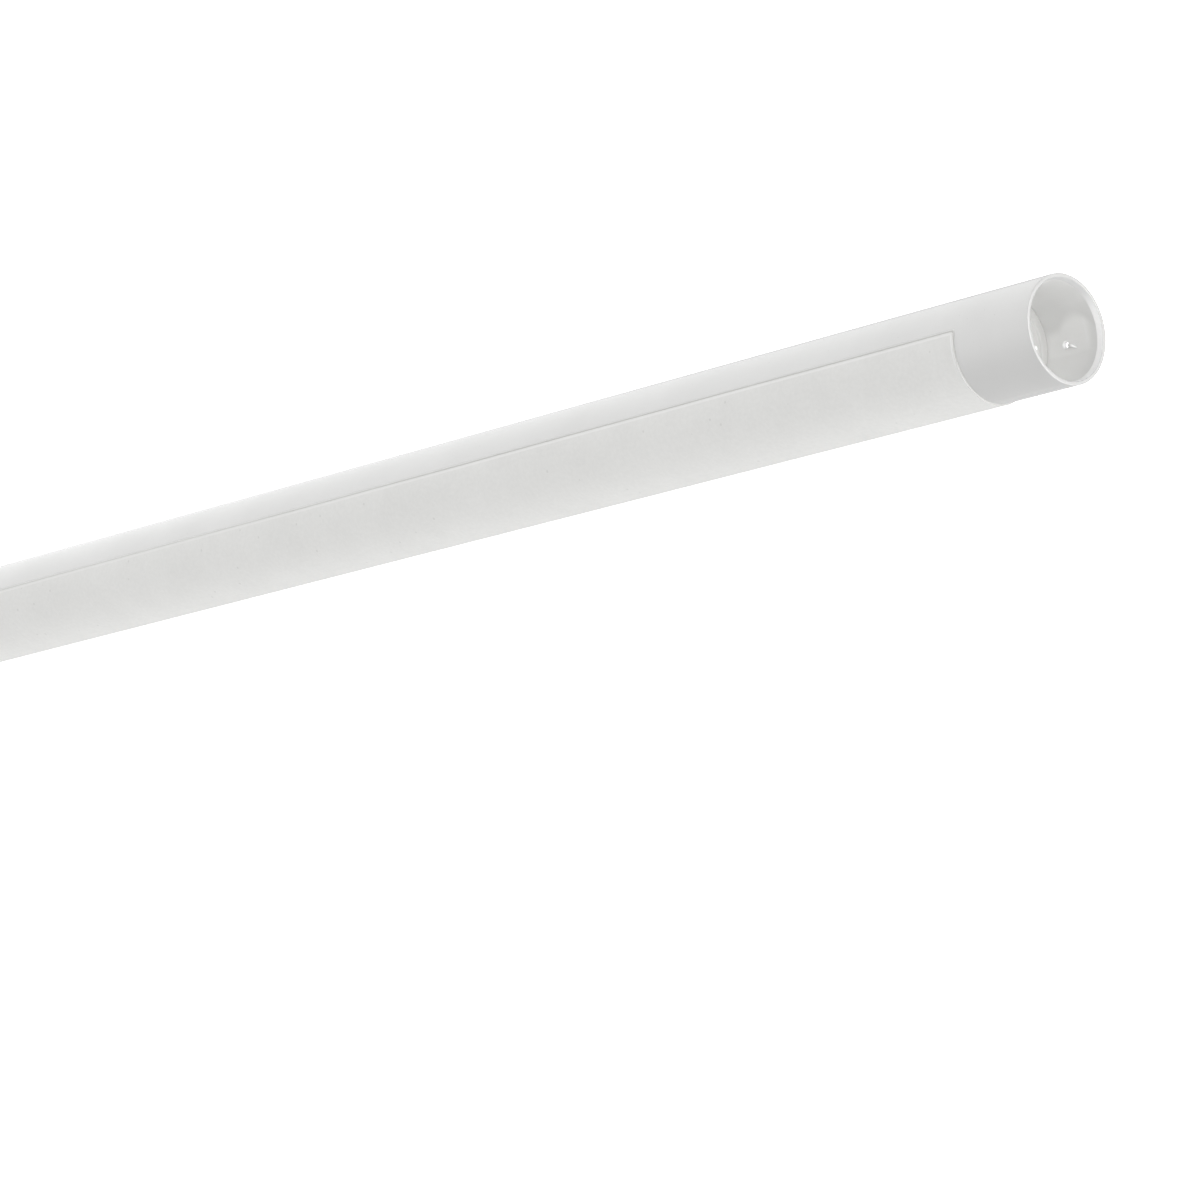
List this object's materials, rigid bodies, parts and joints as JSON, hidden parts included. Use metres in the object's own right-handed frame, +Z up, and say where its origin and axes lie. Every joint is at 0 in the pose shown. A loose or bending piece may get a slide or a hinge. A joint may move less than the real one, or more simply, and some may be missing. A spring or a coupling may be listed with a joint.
{
  "type": "white cane",
  "caption": "Folding long cane of white tubes with a flat-sided rubber grip, spigot joints on an elastic cord and an open lower end for a walking tip.",
  "frame": {"origin": "on the floor, below the middle of the cane's length", "axes": "+X along the cane from its grip towards its open lower end, +Z up away from the grip's flat, -Y towards the side that shows the film's long edge"},
  "size_m": [1.1672, 0.0252, 0.0231],
  "materials": {
    "rubber_grip": "matte black moulded rubber with fine ribs",
    "black_nylon": "moulded black nylon",
    "crimp_aluminium": "crimped soft aluminium",
    "elastic_braid": "white braided sheath over rubber strands",
    "white_tube": "smooth satin white over drawn aluminium",
    "reflective_film": "white retroreflective film with a fine mottled grain",
    "spigot_aluminium": "turned aluminium",
    "stainless_pin": "stainless pin, flush",
    "acetal_liner": "natural acetal, slightly waxy",
    "white_nylon": "moulded natural nylon"
  },
  "bodies": {
    "handle": {"grip": "rubber_grip", "grip_cap": "black_nylon", "upper_crimp": "crimp_aluminium", "elastic_cord": "elastic_braid", "tube_1": "white_tube", "film_1": "reflective_film", "spigot_1": "spigot_aluminium", "spigot_pin_1": "stainless_pin"},
    "section_2": {"tube_2": "white_tube", "film_2": "reflective_film", "socket_liner_2": "acetal_liner", "spigot_2": "spigot_aluminium", "spigot_pin_2": "stainless_pin"},
    "section_3": {"tube_3": "white_tube", "film_3": "reflective_film", "socket_liner_3": "acetal_liner", "spigot_3": "spigot_aluminium", "spigot_pin_3": "stainless_pin"},
    "section_4": {"tube_4": "white_tube", "film_4": "reflective_film", "socket_liner_4": "acetal_liner", "spigot_4": "spigot_aluminium", "spigot_pin_4": "stainless_pin"},
    "tip_section": {"tube_5": "white_tube", "film_5": "reflective_film", "socket_liner_5": "acetal_liner", "lower_anchor": "white_nylon", "lower_crimp": "crimp_aluminium"}
  },
  "joints": [
    {"name": "joint_1_pull", "type": "slide", "parent": "handle", "child": "section_2", "axis": [1, 0, 0], "range_m": [0, 0.048], "stiffness_N_per_m": 120, "springref_m": -0.2, "deforming": ["elastic_cord"]},
    {"name": "joint_2_pull", "type": "slide", "parent": "section_2", "child": "section_3", "axis": [1, 0, 0], "range_m": [0, 0.048], "stiffness_N_per_m": 120, "springref_m": -0.2},
    {"name": "joint_3_pull", "type": "slide", "parent": "section_3", "child": "section_4", "axis": [1, 0, 0], "range_m": [0, 0.048], "stiffness_N_per_m": 120, "springref_m": -0.2},
    {"name": "joint_4_pull", "type": "slide", "parent": "section_4", "child": "tip_section", "axis": [1, 0, 0], "range_m": [0, 0.048], "stiffness_N_per_m": 120, "springref_m": -0.2}
  ]
}
